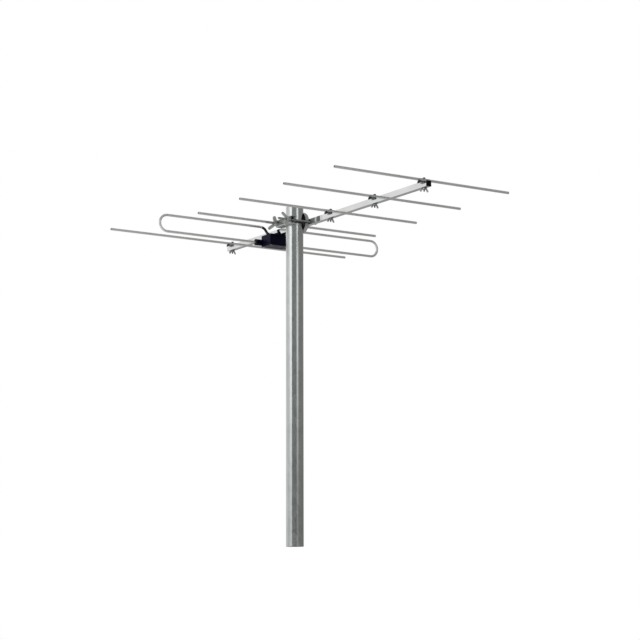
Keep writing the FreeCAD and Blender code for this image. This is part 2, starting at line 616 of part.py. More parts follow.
def mast_room(height):
    """The mast with its clearance, over the height of a jaw."""
    return bar("z", MAST_NOTCH, f"2 * {height}", ("0", "0", f"{BOOM_HEIGHT} - {height}"))


def dish_jaw():
    mouth = (f"{NEAR_FACE} - jaw_depth", "0", BOOM_HEIGHT)
    outer = bar("x", JAW_RADIUS, "jaw_depth", mouth)
    doc.recompute()
    base = outer.Shape.BoundBox.XMax
    soft = rounded(outer, lambda box: "jaw_corner" if box.XMin > base - 0.01 else None)
    inner = bar("x", f"{JAW_RADIUS} - jaw_sheet", "jaw_depth - jaw_sheet", mouth)
    holes = [bar("x", "rivet_diameter / 2", "jaw_sheet",
                 (f"{NEAR_FACE} - jaw_sheet", f"{side} * rivet_spread / 2", BOOM_HEIGHT)) for side in (-1, 1)]
    return cut(soft, [inner, mast_room(JAW_RADIUS)] + holes)


def jaw_rivets():
    rivets = []
    for side in (-1, 1):
        y = f"{side} * rivet_spread / 2"
        head_x = f"({NEAR_FACE} - jaw_sheet - rivet_head_thick)"
        head = bar("x", "rivet_head / 2", "rivet_head_thick", (head_x, y, BOOM_HEIGHT))
        shank = bar("x", "rivet_diameter / 2", "jaw_sheet + boom_wall",
                    (f"{NEAR_FACE} - jaw_sheet", y, BOOM_HEIGHT))
        tail = bar("x", "rivet_tail / 2", "rivet_tail_thick", (f"{NEAR_FACE} + boom_wall", y, BOOM_HEIGHT))
        rivets.append(join([head, shank, tail]))
    return group(rivets)


def outer_jaw():
    """A folded channel, open at both ends, with the mast's notch in its flanges."""
    length = f"(2 * ({BOLT_Y} + pan_end))"
    low = f"({BOLT_HEIGHT} - pan_height / 2)"
    outer = mid_block(("pan_depth", length, "pan_height"), (f"{PAN_OUTSIDE} + pan_depth / 2", "0", low))
    inner = mid_block(("pan_depth", f"{length} + pan_sheet", "pan_height - 2 * pan_sheet"),
                      (f"{PAN_OUTSIDE} + pan_sheet + pan_depth / 2", "0", f"{low} + pan_sheet"))
    soft = []
    for thing, alias in ((outer, "pan_bend"), (inner, "pan_fold")):
        doc.recompute()
        web = thing.Shape.BoundBox.XMin + 0.01
        soft.append(rounded(thing, lambda box: alias if box.XMax < web and box.YLength > 0.01 else None))
    holes = [bar("x", BOLT_HOLE, "pan_sheet", (PAN_OUTSIDE, f"{side} * {BOLT_Y}", BOLT_HEIGHT))
             for side in (-1, 1)]
    return cut(soft[0], [soft[1], mast_room("pan_height")] + holes)


def clamp_bolt(y):
    head = hexagon("x", "bolt_head_width", "bolt_head_height", (FAR_FACE, y, BOLT_HEIGHT))
    shank = bar("x", "bolt_diameter / 2", "bolt_length", (f"{FAR_FACE} - bolt_length", y, BOLT_HEIGHT))
    return join([head, shank])


def clamp_washer(y):
    start = (f"{PAN_OUTSIDE} - washer_thick", y, BOLT_HEIGHT)
    return cut(bar("x", "washer_diameter / 2", "washer_thick", start),
               [bar("x", BOLT_HOLE, "washer_thick", start)])


def clamp_nut(y, turn):
    """A large wing nut on the mast's far side, with a sunk field inside each ear's raised rim."""
    upright = FreeCAD.Rotation(FreeCAD.Vector(1, 0, 0), -turn).multVec(FreeCAD.Vector(0, 0, 1))
    outwards = FreeCAD.Vector(-1, 0, 0)
    aim = FreeCAD.Rotation(upright, outwards.cross(upright), outwards, "ZXY")
    recesses = []
    for side in (-1, 1):
        face = f"{side} * (wing_thick - wing_recess) / 2"
        recesses += both_sides(ear("wing", "(wing_width - 2 * wing_rim)", "wing_recess", face))
    hub = bar("z", "wing_hub / 2", "wing_height", ("0", "0", "0"))
    fields = [cut(recess, [hub]) for recess in recesses]
    seat = (f"{PAN_OUTSIDE} - washer_thick", y, BOLT_HEIGHT)
    return wing_nut("wing", "bolt_diameter / 2", seat, aim, fields)


sub_part("mast_tube", mast_tube())
sub_part("boom", boom())
sub_part("boom_front_cap", boom_front_cap())
for name, length, at, turn in ELEMENTS:
    sub_part(f"{name}_rod", element_rod(length, at))
    sub_part(f"{name}_saddle", saddle(at))
    sub_part(f"{name}_screw", element_screw(at))
    sub_part(f"{name}_wing_nut", element_nut(at, turn))
sub_part("folded_dipole", folded_dipole())
sub_part("dipole_box_base", box_base())
sub_part("dipole_box_lid", box_lid())
sub_part("lid_screws", lid_screws())
sub_part("box_fixing_screws", box_fixing_screws())
sub_part("feed_grommets", feed_grommets())
sub_part("feed_terminals", feed_terminals())
sub_part("balun_board", balun_board())
sub_part("board_screws", board_screws())
sub_part("balun_core", balun_core())
sub_part("coax_socket", coax_socket())
sub_part("socket_nut", socket_nut())
sub_part("clamp_dish_jaw", dish_jaw())
sub_part("jaw_rivets", jaw_rivets())
sub_part("clamp_outer_jaw", outer_jaw())
for name, side, turn in CLAMP_SIDES:
    y = f"{side} * {BOLT_Y}"
    sub_part(f"clamp_bolt_{name}", clamp_bolt(y))
    sub_part(f"clamp_washer_{name}", clamp_washer(y))
    sub_part(f"clamp_wing_nut_{name}", clamp_nut(y, turn))

doc.recompute()
for thing in doc.Objects:
    if {"Invalid", "Error"} & set(thing.State):
        raise RuntimeError(f"{thing.Label} failed: {thing.State}")
for thing in sub_parts:
    if thing.Shape.isNull() or not thing.Shape.isValid() or not thing.Shape.Solids:
        raise RuntimeError(f"{thing.Label} has no valid solid")

os.makedirs("parts", exist_ok=True)
for thing in sub_parts:
    thing.Shape.exportStep(f"parts/{thing.Label}.step")
    print(f"{thing.Label}: {len(thing.Shape.Solids)} solid(s), {thing.Shape.Volume / 1000:.2f} cm3")
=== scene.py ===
# A VHF yagi antenna on its mast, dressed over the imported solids. Metres, in the solids' own frame.
import bmesh
import bpy
import json
import math
from mathutils import Matrix, Vector


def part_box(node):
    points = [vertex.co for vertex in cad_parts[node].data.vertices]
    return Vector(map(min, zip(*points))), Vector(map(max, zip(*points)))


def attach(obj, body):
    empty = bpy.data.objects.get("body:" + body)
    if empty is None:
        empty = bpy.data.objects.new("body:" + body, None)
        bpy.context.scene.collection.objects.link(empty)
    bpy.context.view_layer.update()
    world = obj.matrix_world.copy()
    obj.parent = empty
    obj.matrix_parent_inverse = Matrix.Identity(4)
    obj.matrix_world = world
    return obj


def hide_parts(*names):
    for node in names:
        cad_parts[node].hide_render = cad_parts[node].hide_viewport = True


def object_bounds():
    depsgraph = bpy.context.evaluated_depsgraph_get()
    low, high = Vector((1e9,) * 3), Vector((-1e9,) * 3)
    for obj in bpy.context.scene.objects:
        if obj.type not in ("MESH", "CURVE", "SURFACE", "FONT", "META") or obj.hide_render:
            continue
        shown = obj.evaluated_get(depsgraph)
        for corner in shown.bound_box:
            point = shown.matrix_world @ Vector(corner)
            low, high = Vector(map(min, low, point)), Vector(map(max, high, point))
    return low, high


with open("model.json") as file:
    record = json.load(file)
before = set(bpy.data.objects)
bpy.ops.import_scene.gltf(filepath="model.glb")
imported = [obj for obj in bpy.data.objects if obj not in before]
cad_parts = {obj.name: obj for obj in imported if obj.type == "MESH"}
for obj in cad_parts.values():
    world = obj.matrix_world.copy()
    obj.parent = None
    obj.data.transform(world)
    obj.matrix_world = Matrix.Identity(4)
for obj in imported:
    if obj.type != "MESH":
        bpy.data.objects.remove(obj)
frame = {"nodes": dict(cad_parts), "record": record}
cad_low, cad_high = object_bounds()
nodes = frame["nodes"]
scene = bpy.context.scene
MM = 0.001

# Camera: below the mast's foot, looking up at the elements
CAMERA_PLACE = (-2.6678, -4.2494, -0.1781)
CAMERA_TURN = -32.918
CAMERA_TILT = 9.037
CAMERA_ROLL = -0.17
CAMERA_LENS = 103.72
SENSOR_WIDTH = 36
FARTHEST = 100

camera = bpy.data.objects.new("camera", bpy.data.cameras.new("camera"))
scene.collection.objects.link(camera)
camera.location = CAMERA_PLACE
camera.rotation_euler = (Matrix.Rotation(math.radians(CAMERA_TURN), 3, "Z")
                         @ Matrix.Rotation(math.radians(90 + CAMERA_TILT), 3, "X")
                         @ Matrix.Rotation(math.radians(CAMERA_ROLL), 3, "Z")).to_euler()
camera.data.lens = CAMERA_LENS
camera.data.sensor_width = SENSOR_WIDTH
camera.data.clip_end = FARTHEST
scene.camera = camera
scene.view_settings.view_transform = "Standard"

# Node helpers
EVEN = (1, 1, 1)
NOISE_ROUGHNESS = 0.55
# Most of a noise lies between these values
NOISE_LOW = 0.3
NOISE_HIGH = 0.7
# Sockets of a mix of colours
MIX_FIRST = 6
MIX_SECOND = 7
MIX_RESULT = 2


def add(tree, kind, **settings):
    """A new node with its settings."""
    node = tree.nodes.new(kind)
    for key, value in settings.items():
        setattr(node, key, value)
    return node


def feed(tree, socket, value):
    """Links a socket, or sets a constant on it."""
    if isinstance(value, bpy.types.NodeSocket):
        tree.links.new(value, socket)
    else:
        socket.default_value = value


def drawn_out(tree, stretch):
    """Places in the object's own metres, drawn out along an axis where the stretch is small."""
    coord = add(tree, "ShaderNodeTexCoord")
    mapping = add(tree, "ShaderNodeMapping")
    mapping.inputs["Scale"].default_value = stretch
    tree.links.new(coord.outputs["Object"], mapping.inputs["Vector"])
    return mapping.outputs["Vector"]


def noise(tree, scale, stretch=EVEN, detail=3.0):
    texture = add(tree, "ShaderNodeTexNoise")
    tree.links.new(drawn_out(tree, stretch), texture.inputs["Vector"])
    texture.inputs["Scale"].default_value = scale
    texture.inputs["Detail"].default_value = detail
    texture.inputs["Roughness"].default_value = NOISE_ROUGHNESS
    return texture.outputs[0]


def cells(tree, scale, stretch):
    """A random grey for each cell, as in a zinc coat's spangle."""
    texture = add(tree, "ShaderNodeTexVoronoi")
    tree.links.new(drawn_out(tree, stretch), texture.inputs["Vector"])
    texture.inputs["Scale"].default_value = scale
    split = add(tree, "ShaderNodeSeparateColor")
    tree.links.new(texture.outputs["Color"], split.inputs["Color"])
    return split.outputs[0]


def axes(tree):
    """X, Y and Z of a place in the object's own metres."""
    coord = add(tree, "ShaderNodeTexCoord")
    split = add(tree, "ShaderNodeSeparateXYZ")
    tree.links.new(coord.outputs["Object"], split.inputs[0])
    return split.outputs


def span(tree, value, low, high, start=NOISE_LOW, end=NOISE_HIGH):
    """A range of values, a noise's usual one if no other is given, spread over the wanted values."""
    node = add(tree, "ShaderNodeMapRange")
    tree.links.new(value, node.inputs["Value"])
    for name, number in (("From Min", start), ("From Max", end), ("To Min", low), ("To Max", high)):
        node.inputs[name].default_value = number
    return node.outputs[0]


def math_node(tree, operation, first, second=0):
    node = add(tree, "ShaderNodeMath", operation=operation)
    feed(tree, node.inputs[0], first)
    feed(tree, node.inputs[1], second)
    return node.outputs[0]


def mixed(tree, factor, first, second):
    """Two colours, constant or made by nodes, by a factor from 0 to 1."""
    node = add(tree, "ShaderNodeMix", data_type="RGBA")
    tree.links.new(factor, node.inputs["Factor"])
    for index, color in ((MIX_FIRST, first), (MIX_SECOND, second)):
        feed(tree, node.inputs[index], (*color, 1) if isinstance(color, tuple) else color)
    return node.outputs[MIX_RESULT]


def mixed_shaders(tree, factor, first, second):
    node = add(tree, "ShaderNodeMixShader")
    tree.links.new(factor, node.inputs["Fac"])
    tree.links.new(first.outputs[0], node.inputs[1])
    tree.links.new(second.outputs[0], node.inputs[2])
    return node


def bump(tree, height, distance):
    node = add(tree, "ShaderNodeBump")
    node.inputs["Distance"].default_value = distance
    tree.links.new(height, node.inputs["Height"])
    return node.outputs["Normal"]


# Painted shade: a dark colour in corners and between pieces, on faces that look down, and a near-black
# painted shadow at the saddles' low ends
# Colour of the painted shade in corners and on faces that look down
PAINTED_SHADE = (0.030, 0.033, 0.032)
# Near-black of the painted shadow at the saddles' low ends
SHADOW_BLACK = (0.010, 0.011, 0.011)
CORNER_SAMPLES = 8
CORNER_SHADED = 0.30
CORNER_LIT = 0.80
LOOKS_DOWN = -0.8
LOOKS_ASIDE = -0.3
EDGE_NOISE = 350
EDGE_WAVE = 0.6 * MM
EDGE_FADE = 1.5 * MM
END_FADE = 1.0 * MM


def shade_in_corners(tree, color, reach):
    """Paints shade into a colour by ambient occlusion: darker in corners and between pieces."""
    node = add(tree, "ShaderNodeAmbientOcclusion", samples=CORNER_SAMPLES)
    node.inputs["Distance"].default_value = reach
    return mixed(tree, span(tree, node.outputs["AO"], 0, 1, CORNER_SHADED, CORNER_LIT), PAINTED_SHADE, color)


def shade_underneath(tree, color):
    """Paints shade onto the faces that look down by darkening their colour."""
    geometry = add(tree, "ShaderNodeNewGeometry")
    split = add(tree, "ShaderNodeSeparateXYZ")
    tree.links.new(geometry.outputs["Normal"], split.inputs[0])
    return mixed(tree, span(tree, split.outputs["Z"], 0, 1, LOOKS_DOWN, LOOKS_ASIDE), PAINTED_SHADE, color)


def shade_low_ends(tree, color, middle, near, top):
    """Paints a near-black shadow on a part's ends along X below a height, with an uneven edge."""
    place = axes(tree)
    wave = span(tree, noise(tree, EDGE_NOISE), -EDGE_WAVE, EDGE_WAVE)
    height = math_node(tree, "ADD", place["Z"], wave)
    away = math_node(tree, "ABSOLUTE", math_node(tree, "SUBTRACT", place["X"], middle))
    unshaded = math_node(tree, "MAXIMUM", span(tree, height, 0, 1, top - EDGE_FADE, top),
                      span(tree, away, 1, 0, near, near + END_FADE))
    return mixed(tree, unshaded, SHADOW_BLACK, color)


# Materials
PLAIN_SPECULAR = 0.5


def surface(name, color, roughness, height, depth, metallic=1.0, specular=PLAIN_SPECULAR):
    """A material from functions that make its colour, roughness and relief."""
    material = bpy.data.materials.new(name)
    material.use_nodes = True
    tree = material.node_tree
    shader = tree.nodes["Principled BSDF"]
    feed(tree, shader.inputs["Base Color"], color(tree))
    feed(tree, shader.inputs["Roughness"], roughness(tree))
    feed(tree, shader.inputs["Normal"], bump(tree, height(tree), depth))
    shader.inputs["Metallic"].default_value = metallic
    shader.inputs["Specular IOR Level"].default_value = specular
    return material


FINE_SHARE = 0.6
BROAD_SHARE = 0.4
SHINE_LESS = -0.02
SHINE_MORE = 0.03


def fine_and_broad(tree, fine, broad):
    """Two noises as one factor from 0 to 1."""
    return math_node(tree, "ADD", span(tree, fine, 0, FINE_SHARE), span(tree, broad, 0, BROAD_SHARE))


def unevenly(tree, roughness, scale):
    """A roughness with broad patches in its shine."""
    return math_node(tree, "ADD", roughness, span(tree, noise(tree, scale), SHINE_LESS, SHINE_MORE))


# Drawn tube: scales of its noises, and the depth of its lines
ALONG = {"x": (0.006, 1, 1), "y": (1, 0.006, 1)}
DRAWN_LINES = 900
DRAWN_PATCHES = 14
DRAWN_SHINE = 700
DRAWN_SHINE_PATCHES = 30
DRAWN_GROOVES = 1200
GROOVE_DEPTH = 0.02 * MM


def drawn_metal(name, axis, dark, light, smooth, rough):
    """Drawn tube: fine lines along it, and a little unevenness of its shine."""
    lines = ALONG[axis]

    def color(tree):
        factor = fine_and_broad(tree, noise(tree, DRAWN_LINES, lines), noise(tree, DRAWN_PATCHES))
        return mixed(tree, factor, dark, light)

    def roughness(tree):
        shine = span(tree, noise(tree, DRAWN_SHINE, lines), smooth, rough)
        return unevenly(tree, shine, DRAWN_SHINE_PATCHES)

    return surface(name, color, roughness, lambda tree: noise(tree, DRAWN_GROOVES, lines), GROOVE_DEPTH)


# Zinc coat of the mast: scales, stretches and shares of what its colour is made of
SPANGLE = 90
SPANGLE_STRETCH = (1, 1, 0.6)
SPANGLE_SHARE = 0.30
STREAKS = 160
STREAK_STRETCH = (1, 1, 0.02)
STREAK_SHARE = 0.35
ZINC_PATCHES = 9
PATCH_SHARE = 0.35
ZINC_DARK = (0.385, 0.405, 0.400)
ZINC_LIGHT = (0.520, 0.535, 0.525)
ZINC_SMOOTH = 0.17
ZINC_ROUGH = 0.23
ZINC_SHINE_PATCHES = 12
ZINC_SKIN = 260
ZINC_SKIN_STRETCH = (1, 1, 0.25)
ZINC_DEPTH = 0.04 * MM


def galvanised_metal(name):
    """Zinc coat: soft spangle, faint streaks down the tube and dull patches."""
    def color(tree):
        spangle = span(tree, cells(tree, SPANGLE, SPANGLE_STRETCH), 0, SPANGLE_SHARE, 0, 1)
        streaks = span(tree, noise(tree, STREAKS, STREAK_STRETCH), 0, STREAK_SHARE)
        patches = span(tree, noise(tree, ZINC_PATCHES), 0, PATCH_SHARE)
        factor = math_node(tree, "ADD", math_node(tree, "ADD", spangle, streaks), patches)
        return mixed(tree, factor, ZINC_DARK, ZINC_LIGHT)

    def roughness(tree):
        spangle = span(tree, cells(tree, SPANGLE, SPANGLE_STRETCH), ZINC_SMOOTH, ZINC_ROUGH, 0, 1)
        return unevenly(tree, spangle, ZINC_SHINE_PATCHES)

    return surface(name, color, roughness, lambda tree: noise(tree, ZINC_SKIN, ZINC_SKIN_STRETCH), ZINC_DEPTH)


PLATE_PATCHES = 45
PLATE_SHINE = 0.6
PLATE_SKIN = 2.5


def plated_metal(name, dark, light, smooth, rough, grain, depth, reach=7 * MM, shaded_below=False, shaded_ends=None):
    """Zinc plate on pressed or cast steel: mottled, with a fine uneven skin and painted shade in its corners;
    where asked, also painted shade on faces that look down and a painted shadow at low ends.
    """
    def color(tree):
        factor = fine_and_broad(tree, noise(tree, grain), noise(tree, PLATE_PATCHES))
        plate = shade_in_corners(tree, mixed(tree, factor, dark, light), reach)
        if shaded_below:
            plate = shade_underneath(tree, plate)
        return shade_low_ends(tree, plate, *shaded_ends) if shaded_ends else plate

    return surface(name, color, lambda tree: span(tree, noise(tree, grain * PLATE_SHINE), smooth, rough),
                   lambda tree: noise(tree, grain * PLATE_SKIN), depth)


FLOW_MARKS = 60
FLOW_DETAIL = 5
MOULD_SHINE = 25
SATIN = 2600
SATIN_DETAIL = 1
SATIN_DEPTH = 0.06 * MM
MOULD_SPECULAR = 0.06


def moulded_plastic(name, dark, light, smooth, rough):
    """Moulded plastic: a fine satin grain and faint flow marks."""
    def color(tree):
        return mixed(tree, span(tree, noise(tree, FLOW_MARKS, detail=FLOW_DETAIL), 0, 1), dark, light)

    return surface(name, color, lambda tree: span(tree, noise(tree, MOULD_SHINE), smooth, rough),
                   lambda tree: noise(tree, SATIN, detail=SATIN_DETAIL), SATIN_DEPTH,
                   metallic=0.0, specular=MOULD_SPECULAR)


TURNED_MOTTLE = 300
TURNED_SHINE = 900
TURNED_SKIN = 2000
TURNED_DEPTH = 0.02 * MM


def turned_metal(name, dark, light, smooth, rough):
    """Turned metal: a fine mottle and skin."""
    return surface(name, lambda tree: mixed(tree, span(tree, noise(tree, TURNED_MOTTLE), 0, 1), dark, light),
                   lambda tree: span(tree, noise(tree, TURNED_SHINE), smooth, rough),
                   lambda tree: noise(tree, TURNED_SKIN), TURNED_DEPTH)


MATERIALS = {
    "galvanised_steel": galvanised_metal("galvanised_steel"),
    "bright_aluminium": drawn_metal("bright_aluminium", "y", (0.56, 0.57, 0.56), (0.77, 0.78, 0.77),
                                    smooth=0.05, rough=0.09),
    "rod_aluminium": drawn_metal("rod_aluminium", "x", (0.57, 0.57, 0.56), (0.71, 0.71, 0.70),
                                 smooth=0.26, rough=0.38),
    # Pressed steel: painted shade from its corners reaches 16 mm, into the gaps round the clamp
    "pressed_steel": plated_metal("pressed_steel", (0.32, 0.34, 0.33), (0.48, 0.50, 0.49),
                                  smooth=0.22, rough=0.34, grain=220, depth=0.03 * MM, reach=16 * MM),
    "zinc_steel": plated_metal("zinc_steel", (0.38, 0.40, 0.38), (0.56, 0.57, 0.55),
                               smooth=0.22, rough=0.36, grain=400, depth=0.04 * MM),
    "dark_steel": plated_metal("dark_steel", (0.030, 0.032, 0.032), (0.075, 0.078, 0.076),
                               smooth=0.28, rough=0.42, grain=500, depth=0.03 * MM),
    "black_plastic": moulded_plastic("black_plastic", (0.0015, 0.002, 0.009), (0.003, 0.0035, 0.016),
                                     smooth=0.32, rough=0.42),
    "rubber": moulded_plastic("rubber", (0.010, 0.010, 0.010), (0.020, 0.020, 0.020),
                              smooth=0.60, rough=0.75),
    "brass": turned_metal("brass", (0.60, 0.43, 0.16), (0.74, 0.55, 0.24), smooth=0.22, rough=0.34),
    "board": moulded_plastic("board", (0.020, 0.075, 0.030), (0.035, 0.11, 0.045), smooth=0.30, rough=0.45),
    "ferrite": moulded_plastic("ferrite", (0.020, 0.020, 0.021), (0.036, 0.036, 0.037),
                               smooth=0.55, rough=0.70),
    "nickel_brass": turned_metal("nickel_brass", (0.58, 0.55, 0.48), (0.72, 0.69, 0.62),
                                 smooth=0.16, rough=0.28),
}

# Kinds of a slot's finish: saddles with painted shade below and a near-black painted shadow at their low
# ends, wing nuts whose painted corner shade reaches farther, bolts with painted shade below, and a cap in
# plain black
UNSHADED_HALF = 14.3 * MM
LUG_TOP = 2.6 * MM
boom_low, boom_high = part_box("boom")
SADDLE_SHADED_ENDS = ((boom_low.x + boom_high.x) / 2, UNSHADED_HALF, boom_high.z + LUG_TOP)
# Saddles: painted shade on faces that look down and a near-black painted shadow at their low ends
SADDLE_STEEL = plated_metal("saddle_steel", (0.42, 0.44, 0.43), (0.64, 0.66, 0.65), smooth=0.24, rough=0.36,
                            grain=260, depth=0.03 * MM, reach=2 * MM, shaded_below=True, shaded_ends=SADDLE_SHADED_ENDS)
# Wing nuts: painted corner shade reaching 14 mm, darkening their tops under the boom
NUT_STEEL = plated_metal("nut_steel", (0.38, 0.40, 0.38), (0.56, 0.57, 0.55), smooth=0.22, rough=0.36,
                         grain=400, depth=0.04 * MM, reach=14 * MM)
# Clamp bolts: painted shade on faces that look down
BOLT_STEEL = plated_metal("bolt_steel", (0.26, 0.27, 0.26), (0.42, 0.43, 0.41), smooth=0.24, rough=0.36,
                          grain=500, depth=0.03 * MM, shaded_below=True)
CAP_PLASTIC = moulded_plastic("cap_plastic", (0.0020, 0.0022, 0.0024), (0.0040, 0.0043, 0.0046),
                              smooth=0.32, rough=0.42)
SLOT_OF = {part["node"]: part["material_slot"] for part in frame["record"]["subparts"]}


def finish_of(node):
    """A node's material: its slot's, or a kind of that finish."""
    if node.endswith("_saddle"):
        return SADDLE_STEEL
    if node.endswith("_wing_nut"):
        return NUT_STEEL
    if node == "boom_front_cap":
        return CAP_PLASTIC
    return MATERIALS[SLOT_OF[node]]


for name, thing in nodes.items():
    thing.data.materials.clear()
    thing.data.materials.append(finish_of(name))

# Softer forms: rounded edges on the sheet parts, cast forms on the wing nuts
WELD_GAP = 0.01 * MM
EDGE_RADIUS = 0.3 * MM
EDGE_SEGMENTS = 2
EDGE_ANGLE = math.radians(40)
SMALL_GRAIN = 0.3 * MM
LARGE_GRAIN = 0.35 * MM
SMOOTH_SHARE = 0.5
SMOOTH_TIMES = 3


def welded(thing):
    weld = thing.modifiers.new("weld", "WELD")
    weld.merge_threshold = WELD_GAP


def soften(thing):
    """Rounds the sharp edges of a part."""
    welded(thing)
    bevel = thing.modifiers.new("bevel", "BEVEL")
    bevel.width = EDGE_RADIUS
    bevel.segments = EDGE_SEGMENTS
    bevel.limit_method = "ANGLE"
    bevel.angle_limit = EDGE_ANGLE
    thing.modifiers.new("normals", "WEIGHTED_NORMAL")


def cast(thing, grain):
    """Gives a part the rounded edges and hollows of a casting."""
    welded(thing)
    remesh = thing.modifiers.new("remesh", "REMESH")
    remesh.mode = "VOXEL"
    remesh.voxel_size = grain
    remesh.use_smooth_shade = True
    smooth = thing.modifiers.new("smooth", "SMOOTH")
    smooth.factor = SMOOTH_SHARE
    smooth.iterations = SMOOTH_TIMES


for name, thing in nodes.items():
    if name.endswith("_saddle") or name.startswith("clamp_washer"):
        soften(thing)
    elif name.endswith("_wing_nut"):
        cast(thing, SMALL_GRAIN)
    elif name.startswith("clamp_wing_nut"):
        cast(thing, LARGE_GRAIN)

# New pieces: threaded screws and bolts, the coax socket and the sleeves on the dipole's feed ends
SHARP_ANGLE = math.radians(38)
AROUND = 24


def new_piece(name, body, slot):
    """Turns a finished mesh into a piece on the antenna, smooth but for its sharp edges."""
    bmesh.ops.recalc_face_normals(body, faces=body.faces)
    mesh = bpy.data.meshes.new(name)
    body.to_mesh(mesh)
    body.free()
    mesh.shade_smooth()
    mesh.set_sharp_from_angle(angle=SHARP_ANGLE)
    thing = bpy.data.objects.new(name, mesh)
    scene.collection.objects.link(thing)
    mesh.materials.append(MATERIALS[slot])
    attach(thing, "antenna")
    return thing


def skin(rings, ring_again=False):
    """A closed surface over rings of points: capped at both ends, or joined round to its first ring."""
    body = bmesh.new()
    loops = [[body.verts.new(point) for point in ring] for ring in rings]
    pairs = list(zip(loops, loops[1:]))
    if ring_again:
        pairs.append((loops[-1], loops[0]))
    count = len(loops[0])
    for first, second in pairs:
        for step in range(count):
            onward = (step + 1) % count
            body.faces.new((first[step], first[onward], second[onward], second[step]))
    if not ring_again:
        body.faces.new(loops[0])
        body.faces.new(loops[-1])
    return body


def turned(stations, place):
    """Rings of a turned part: each station has a distance along the axis and a radius, also by angle."""
    rings = []
    for along, radius in stations:
        ring = []
        for step in range(AROUND):
            angle = 2 * math.pi * step / AROUND
            reach = radius(angle) if callable(radius) else radius
            ring.append(place(along, reach * math.cos(angle), reach * math.sin(angle)))
        rings.append(ring)
    return rings


THREAD_DEPTH = 0.55
STATIONS_A_PITCH = 5


def thread(first, last, outside, pitch):
    """Stations of a screw thread, running out at its end."""
    depth = THREAD_DEPTH * pitch
    count = max(2, round((last - first) / pitch * STATIONS_A_PITCH))
    stations = []
    for step in range(count + 1):
        along = first + (last - first) * step / count
        lead_in = max(0, 1 - (last - along) / pitch)

        def radius(angle, along=along, lead_in=lead_in):
            phase = (along / pitch - angle / (2 * math.pi)) % 1
            return outside - depth * max(abs(2 * phase - 1), lead_in)

        stations.append((along, radius))
    return stations


def hexagon(across, turn):
    """The radius of a hexagon by angle."""
    sixth = math.pi / 3

    def radius(angle):
        return across / 2 / math.cos((angle + turn + sixth / 2) % sixth - sixth / 2)

    return radius


# Hexagon heads: shares of the height and of the width across flats
CHAMFER_STEPS = (0, 0.1, 0.2, 0.3)
CHAMFER_SLOPE = math.sqrt(3)
TOP_RADIUS = 0.475
FULL_UNTIL = 0.94
SEAT_EDGE = 0.02


def hex_head(across, height, turn):
    """Stations of a hexagon head with its corners turned off towards the top."""
    full = hexagon(across, turn)
    stations = []
    for share in CHAMFER_STEPS:
        along = share * height

        def radius(angle, along=along):
            return min(full(angle), TOP_RADIUS * across + along * CHAMFER_SLOPE)

        stations.append((along, radius))
    return stations + [(FULL_UNTIL * height, full), (height, lambda angle: full(angle) - SEAT_EDGE * across)]


X_AXIS = 0
Z_AXIS = 2
CLAMP_BOLT = {"axis": X_AXIS, "across": 10 * MM, "head": 4 * MM, "diameter": 6 * MM, "pitch": 1.0 * MM,
              "plain": 62 * MM, "turn": 0}
ELEMENT_SCREW = {"axis": Z_AXIS, "across": 7 * MM, "head": 3.2 * MM, "diameter": 4 * MM, "pitch": 0.7 * MM,
                 "plain": 5 * MM, "turn": math.radians(30)}


def hex_screw(node, axis, across, head, diameter, pitch, plain, turn):
    """A hexagon screw in a node's place, its head at the axis's upper end."""
    low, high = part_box(node)
    middle = (low + high) / 2
    length = high[axis] - low[axis]

    def place(along, u, v):
        if axis == X_AXIS:
            return Vector((high.x - along, middle.y + u, middle.z + v))
        return Vector((middle.x + u, middle.y + v, high.z - along))

    stations = hex_head(across, head, turn)
    stations += [(head, diameter / 2), (head + plain, diameter / 2)]
    stations += thread(head + plain, length, diameter / 2, pitch)
    piece = new_piece(f"{node}.threaded", skin(turned(stations, place)), SLOT_OF[node])
    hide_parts(node)
    return piece


for name in list(nodes):
    if name.startswith("clamp_bolt"):
        bolt = hex_screw(name, **CLAMP_BOLT)
        bolt.data.materials[0] = BOLT_STEEL
    elif name.endswith("_screw"):
        hex_screw(name, **ELEMENT_SCREW)

# Thin black sleeves on the dipole's feed ends, round their bends and down to the housing
ROD = 3.5 * MM
BEND = 12 * MM
GROMMET_RIM = 1.5 * MM
INTO_GROMMET = 2 * MM
SLEEVE_WALL = 0.2 * MM
SLEEVE_START = 4
BEND_STEPS = 12
FEED_DOWN = Vector((0, -1, -1)).normalized()
FEED_SLOPE = math.sqrt(2)


def feed_sleeve(name, side):
    """A sleeve on one feed end: side is -1 towards -X and 1 towards +X."""
    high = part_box("folded_dipole")[1]
    grommets_low, grommets_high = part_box("feed_grommets")
    outward = Vector((side, 0, 0))
    edge = grommets_low.x if side < 0 else grommets_high.x
    feed_x = edge - side * (ROD + GROMMET_RIM)
    centre = Vector((feed_x + side * BEND, high.y - ROD, high.z - ROD)) + FEED_DOWN * BEND
    path = []
    for step in range(SLEEVE_START, BEND_STEPS + 1):
        angle = math.pi / 2 * step / BEND_STEPS
        out = -FEED_DOWN * math.cos(angle) - outward * math.sin(angle)
        onward = FEED_DOWN * math.sin(angle) - outward * math.cos(angle)
        path.append((centre + out * BEND, out, onward.cross(out)))
    bottom = path[-1]
    run = (bottom[0].z - grommets_high.z + INTO_GROMMET) * FEED_SLOPE
    path.append((bottom[0] + FEED_DOWN * run, bottom[1], bottom[2]))
    rings = []
    for wall in (SLEEVE_WALL, 0.0):
        for point, u, v in path if wall else reversed(path):
            rings.append([point + (u * math.cos(turn) + v * math.sin(turn)) * (ROD + wall)
                          for turn in (2 * math.pi * step / AROUND for step in range(AROUND))])
    new_piece(name, skin(rings, ring_again=True), "rubber")


feed_sleeve("feed_sleeve_left", -1)
feed_sleeve("feed_sleeve_right", 1)

